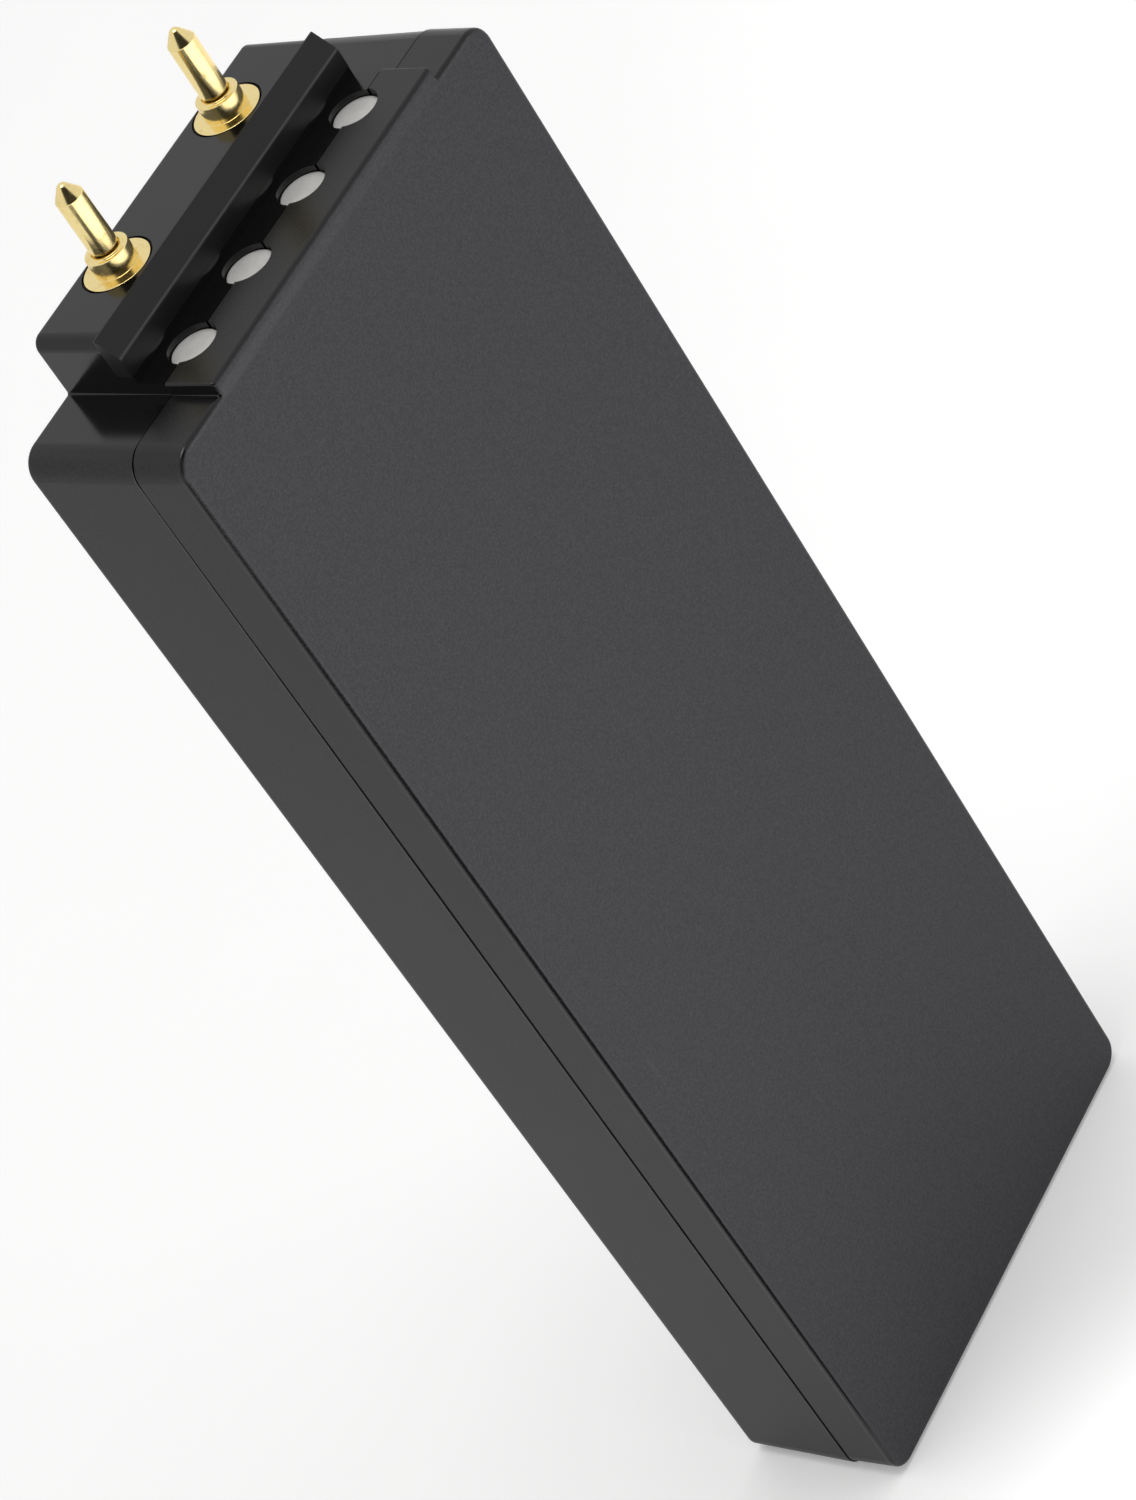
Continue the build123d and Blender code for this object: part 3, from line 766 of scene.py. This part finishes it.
def spring_tree():
    """A tree that winds wire into a spring whose end turns close up."""
    tree, given, result = node_tree(
        "wound_spring", floats=("Coil Radius", "Wire Radius", "Bottom", "Top", "Centre X", "Centre Y"),
        integers=("Turns",), extra=(("Material", "NodeSocketMaterial"),))
    take = given.outputs
    closed_end = 0.04
    evenness = 0.62
    coil = add_node(tree, "GeometryNodeCurveSpiral", inputs={
        "Resolution": 28, "Rotations": take["Turns"], "Height": 0.0,
        "Start Radius": take["Coil Radius"], "End Radius": take["Coil Radius"]})
    share = add_node(tree, "GeometryNodeSplineParameter")
    rise = add_node(tree, "ShaderNodeMapRange", {"interpolation_type": "SMOOTHSTEP"}, {
        "Value": share.outputs["Factor"], "From Min": closed_end, "From Max": 1.0 - closed_end,
        "To Min": 0.0, "To Max": 1.0})
    even = add_node(tree, "ShaderNodeMix", {"data_type": "FLOAT"}, {
        0: evenness, 2: rise.outputs["Result"], 3: share.outputs["Factor"]})
    low = add_node(tree, "ShaderNodeMath", {"operation": "ADD"}, {0: take["Bottom"], 1: take["Wire Radius"]})
    high = add_node(tree, "ShaderNodeMath", {"operation": "SUBTRACT"}, {
        0: take["Top"], 1: take["Wire Radius"]})
    lift = add_node(tree, "ShaderNodeMapRange", None, {
        "Value": even.outputs[0], "To Min": low.outputs[0], "To Max": high.outputs[0]})
    place = add_node(tree, "ShaderNodeCombineXYZ", inputs={
        "X": take["Centre X"], "Y": take["Centre Y"], "Z": lift.outputs["Result"]})
    moved = add_node(tree, "GeometryNodeSetPosition", inputs={
        "Geometry": coil.outputs["Curve"], "Offset": place.outputs[0]})
    section = add_node(tree, "GeometryNodeCurvePrimitiveCircle", {"mode": "RADIUS"}, {
        "Resolution": 10, "Radius": take["Wire Radius"]})
    wire = add_node(tree, "GeometryNodeCurveToMesh", inputs={
        "Curve": moved.outputs["Geometry"], "Profile Curve": section.outputs["Curve"], "Fill Caps": True})
    smooth = add_node(tree, "GeometryNodeSetShadeSmooth", inputs={"Geometry": wire.outputs["Mesh"]})
    real = add_node(tree, "GeometryNodeRealizeInstances", inputs={"Geometry": smooth.outputs["Geometry"]})
    coat = add_node(tree, "GeometryNodeSetMaterial", inputs={
        "Geometry": real.outputs["Geometry"], "Material": take["Material"]})
    tree.links.new(coat.outputs["Geometry"], result.inputs["Geometry"])
    return tree


class PACK_OT_springs(bpy.types.Operator):
    """Wind the spring under each plunger"""

    bl_idname = "pack.springs"
    bl_label = "Springs"

    def execute(self, context):
        tree = spring_tree()
        for side in SIDES:
            low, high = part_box("pin_spring_" + side)
            wire = 0.17 * MM
            mesh = grown_mesh("wound_spring", tree, {
                "Coil Radius": (high.x - low.x) / 2 - wire,
                "Wire Radius": wire,
                "Bottom": low.z,
                "Top": high.z,
                "Centre X": (low.x + high.x) / 2,
                "Centre Y": (low.y + high.y) / 2,
                "Turns": sizes().spring_turns,
                "Material": finish_for("spring_steel"),
            })
            spring = new_piece("wound_spring_" + side, mesh, "spring_steel")
            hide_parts("pin_spring_" + side)
            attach(spring, "pack")
            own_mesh(spring)
        return {"FINISHED"}


def contact_profile():
    """Outline of one signal contact, its face turned in fine rings."""
    low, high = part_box("signal_contact_1")
    face = 2.6 * MM
    flange = (high.x - low.x) / 2
    stem = 0.9 * MM
    floor_z = high.z - 1.15 * MM
    flange_floor = floor_z - 0.7 * MM
    outer_corners = {1, 3, 4, 6}
    outline = rounded([
        (0.0, low.z),
        (stem, low.z),
        (stem, flange_floor),
        (flange, flange_floor),
        (flange, floor_z),
        (face, floor_z),
        (face, high.z),
        (face - 0.4 * MM, high.z),
    ], outer_corners, 0.14 * MM)
    rings = sizes().contact_rings
    reach = face - 0.45 * MM
    groove = high.z - 0.012 * MM
    for i in range(2 * rings):
        outline.append((reach * (1 - i / (2 * rings)), groove if i % 2 else high.z))
    outline.append((0.0, groove))
    return outline


def row_tree():
    """A tree that repeats one piece along X at an even pitch."""
    tree, given, result = node_tree(
        "contact_row", floats=("Pitch",), integers=("Count",),
        extra=(("Piece", "NodeSocketObject"), ("Material", "NodeSocketMaterial")))
    take = given.outputs
    step = add_node(tree, "ShaderNodeCombineXYZ", inputs={"X": take["Pitch"], "Y": 0.0, "Z": 0.0})
    row = add_node(tree, "GeometryNodeMeshLine", {"mode": "OFFSET"}, {
        "Count": take["Count"], "Offset": step.outputs[0]})
    piece = add_node(tree, "GeometryNodeObjectInfo", {"transform_space": "ORIGINAL"}, {
        "Object": take["Piece"]})
    copies = add_node(tree, "GeometryNodeInstanceOnPoints", inputs={
        "Points": row.outputs["Mesh"], "Instance": piece.outputs["Geometry"]})
    real = add_node(tree, "GeometryNodeRealizeInstances", inputs={"Geometry": copies.outputs["Instances"]})
    coat = add_node(tree, "GeometryNodeSetMaterial", inputs={
        "Geometry": real.outputs["Geometry"], "Material": take["Material"]})
    tree.links.new(coat.outputs["Geometry"], result.inputs["Geometry"])
    return tree


class PACK_OT_contacts(bpy.types.Operator):
    """Set the row of signal contacts in their wells"""

    bl_idname = "pack.contacts"
    bl_label = "Signal contacts"

    def execute(self, context):
        low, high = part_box("signal_contact_1")
        axis = ((low.x + high.x) / 2, (low.y + high.y) / 2)
        one = bpy.data.objects.new("one_contact", turned_mesh("one_contact", contact_profile(), axis, 64))
        context.scene.collection.objects.link(one)
        mesh = grown_mesh("turned_contacts", row_tree(), {
            "Pitch": (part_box("signal_contact_4")[0].x - low.x) / 3,
            "Count": 4,
            "Piece": one,
            "Material": finish_for("contact_silver"),
        })
        bpy.data.objects.remove(one)
        contacts = new_piece("turned_contacts", mesh, "contact_silver")
        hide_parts(*["signal_contact_" + str(i) for i in range(1, 5)])
        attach(contacts, "pack")
        return {"FINISHED"}


class PACK_OT_cells(bpy.types.Operator):
    """Finish the cells, strips, cards and pad"""

    bl_idname = "pack.cells"
    bl_label = "Cells"

    def execute(self, context):
        for number in range(1, 7):
            for kind in ("cell_can_", "cell_winding_", "cell_cap_", "cell_sleeve_"):
                finish_nodes(kind + str(number))
        finish_nodes("cell_gaskets", "cell_washers", "card_bottom", "card_top", "foam_pad")
        finish_nodes("strip_negative", "strip_middle", "strip_positive")
        return {"FINISHED"}


class PACK_OT_electronics(bpy.types.Operator):
    """Finish the boards, components and leads"""

    bl_idname = "pack.electronics"
    bl_label = "Electronics"

    def execute(self, context):
        finish_nodes("contact_board", "protection_board", "board_links")
        finish_nodes("controller_chip", "power_switches", "sense_resistor", "capacitors", "cutoff_fuse")
        finish_nodes("lead_negative", "lead_positive", "lead_middle", "thermistor_leads", "thermistor")
        return {"FINISHED"}


def studio_air():
    """A white surround with one darker opening, where the camera looks in, for the metal to reflect."""
    opening_way = (-0.486, -0.637, 0.598)
    outer_angle = math.radians(46)
    inner_angle = math.radians(32)
    white, dark = 0.78, 0.02
    world = bpy.data.worlds.new("studio_air")
    world.use_nodes = True
    nodes, links = world.node_tree.nodes, world.node_tree.links
    direction = nodes.new("ShaderNodeTexCoord")
    facing = nodes.new("ShaderNodeVectorMath")
    facing.operation = "DOT_PRODUCT"
    facing.inputs[1].default_value = opening_way
    links.new(direction.outputs["Generated"], facing.inputs[0])
    opening = nodes.new("ShaderNodeMapRange")
    opening.interpolation_type = "SMOOTHSTEP"
    opening.inputs["From Min"].default_value = math.cos(outer_angle)
    opening.inputs["From Max"].default_value = math.cos(inner_angle)
    opening.inputs["To Min"].default_value = white
    opening.inputs["To Max"].default_value = dark
    links.new(facing.outputs["Value"], opening.inputs["Value"])
    links.new(opening.outputs["Result"], nodes["Background"].inputs["Strength"])
    nodes["Background"].inputs["Color"].default_value = (1.0, 1.0, 1.0, 1.0)
    return world


def soft_light(name, position, target, width, height, power, colour):
    """A rectangular soft light aimed at a point."""
    data = bpy.data.lights.new(name, "AREA")
    data.shape = "RECTANGLE"
    data.size = width
    data.size_y = height
    data.energy = power
    data.color = colour
    light = bpy.data.objects.new(name, data)
    light.location = position
    light.rotation_mode = "QUATERNION"
    light.rotation_quaternion = (Vector(target) - Vector(position)).to_track_quat("-Z", "Y")
    bpy.context.scene.collection.objects.link(light)
    return light


def reflection_card(name, corners):
    """A dark card lying on the floor beside the pack, seen only in reflections."""
    mesh = bpy.data.meshes.new(name)
    lift = 0.5 * MM
    mesh.from_pydata([(x, y, lift) for x, y in corners], [], [tuple(range(len(corners)))])
    mesh.materials.append(card_black())
    card = bpy.data.objects.new(name, mesh)
    for ray in ("camera", "diffuse", "shadow", "transmission", "volume_scatter"):
        setattr(card, "visible_" + ray, False)
    bpy.context.scene.collection.objects.link(card)
    return card


class PACK_OT_stage(bpy.types.Operator):
    """Lay the floor and its cards, hang the light and set the camera"""

    bl_idname = "pack.stage"
    bl_label = "Stage"

    def execute(self, context):
        scene = context.scene
        half = sizes().floor_size / 2
        mesh = bpy.data.meshes.new("studio_floor")
        corners = [(-half, -half, 0), (half, -half, 0), (half, half, 0), (-half, half, 0)]
        mesh.from_pydata(corners, [], [(0, 1, 2, 3)])
        mesh.materials.append(studio_floor())
        floor = bpy.data.objects.new("studio_floor", mesh)
        scene.collection.objects.link(floor)

        scene.world = studio_air()
        scene.view_settings.view_transform = "Standard"

        middle = (0.0, 0.0, 0.09)
        warm_white = (1.0, 0.99, 0.98)
        soft_light("top_light", (-0.1, -0.1, 1.5), middle, 0.8, 0.8, 6.0, warm_white)
        reflection_card("near_card", [
            (-0.034, -0.016), (-0.250, -0.060), (-0.200, -0.180), (-0.120, -0.240), (-0.020, -0.200)])
        reflection_card("side_card", [
            (-0.262, -0.040), (-0.446, -0.063), (-0.364, -0.265), (-0.226, -0.170)])

        data = bpy.data.cameras.new("camera")
        data.lens = sizes().camera_lens
        data.sensor_width = 36.0
        data.clip_start = 0.01
        data.clip_end = 50.0
        camera = bpy.data.objects.new("camera", data)
        place = (-0.2467, -0.3188, 0.3894)
        right = Vector((0.4509, -0.7691, -0.4529)).normalized()
        back = Vector((-0.4860, -0.6372, 0.5982)).normalized()
        up = back.cross(right).normalized()
        right = up.cross(back)
        turn = Matrix((right, up, back)).transposed()
        camera.matrix_world = Matrix.Translation(place) @ turn.to_4x4()
        scene.collection.objects.link(camera)
        scene.camera = camera
        return {"FINISHED"}


OPERATORS = (
    PACK_OT_case, PACK_OT_pins, PACK_OT_springs, PACK_OT_contacts,
    PACK_OT_cells, PACK_OT_electronics, PACK_OT_stage,
)


class PACK_PT_sidebar(bpy.types.Panel):
    """Lists the steps that build the battery pack"""

    bl_idname = "PACK_PT_sidebar"
    bl_label = "Battery Pack"
    bl_space_type = "VIEW_3D"
    bl_region_type = "UI"
    bl_category = "Battery Pack"

    def draw(self, context):
        for operator in OPERATORS:
            self.layout.operator(operator.bl_idname)
        for settings in (context.scene.pack_sizes, context.scene.pack_colours):
            box = self.layout.box()
            for name in settings.__annotations__:
                box.prop(settings, name)


CLASSES = (PackSizes, PackColours, *OPERATORS, PACK_PT_sidebar)


def register():
    for cls in CLASSES:
        bpy.utils.register_class(cls)
    bpy.types.Scene.pack_sizes = bpy.props.PointerProperty(type=PackSizes)
    bpy.types.Scene.pack_colours = bpy.props.PointerProperty(type=PackColours)


def unregister():
    del bpy.types.Scene.pack_colours
    del bpy.types.Scene.pack_sizes
    for cls in reversed(CLASSES):
        bpy.utils.unregister_class(cls)


def main():
    register()
    for operator in OPERATORS:
        group, name = operator.bl_idname.split(".")
        getattr(getattr(bpy.ops, group), name)()


if __name__ == "__main__":
    main()
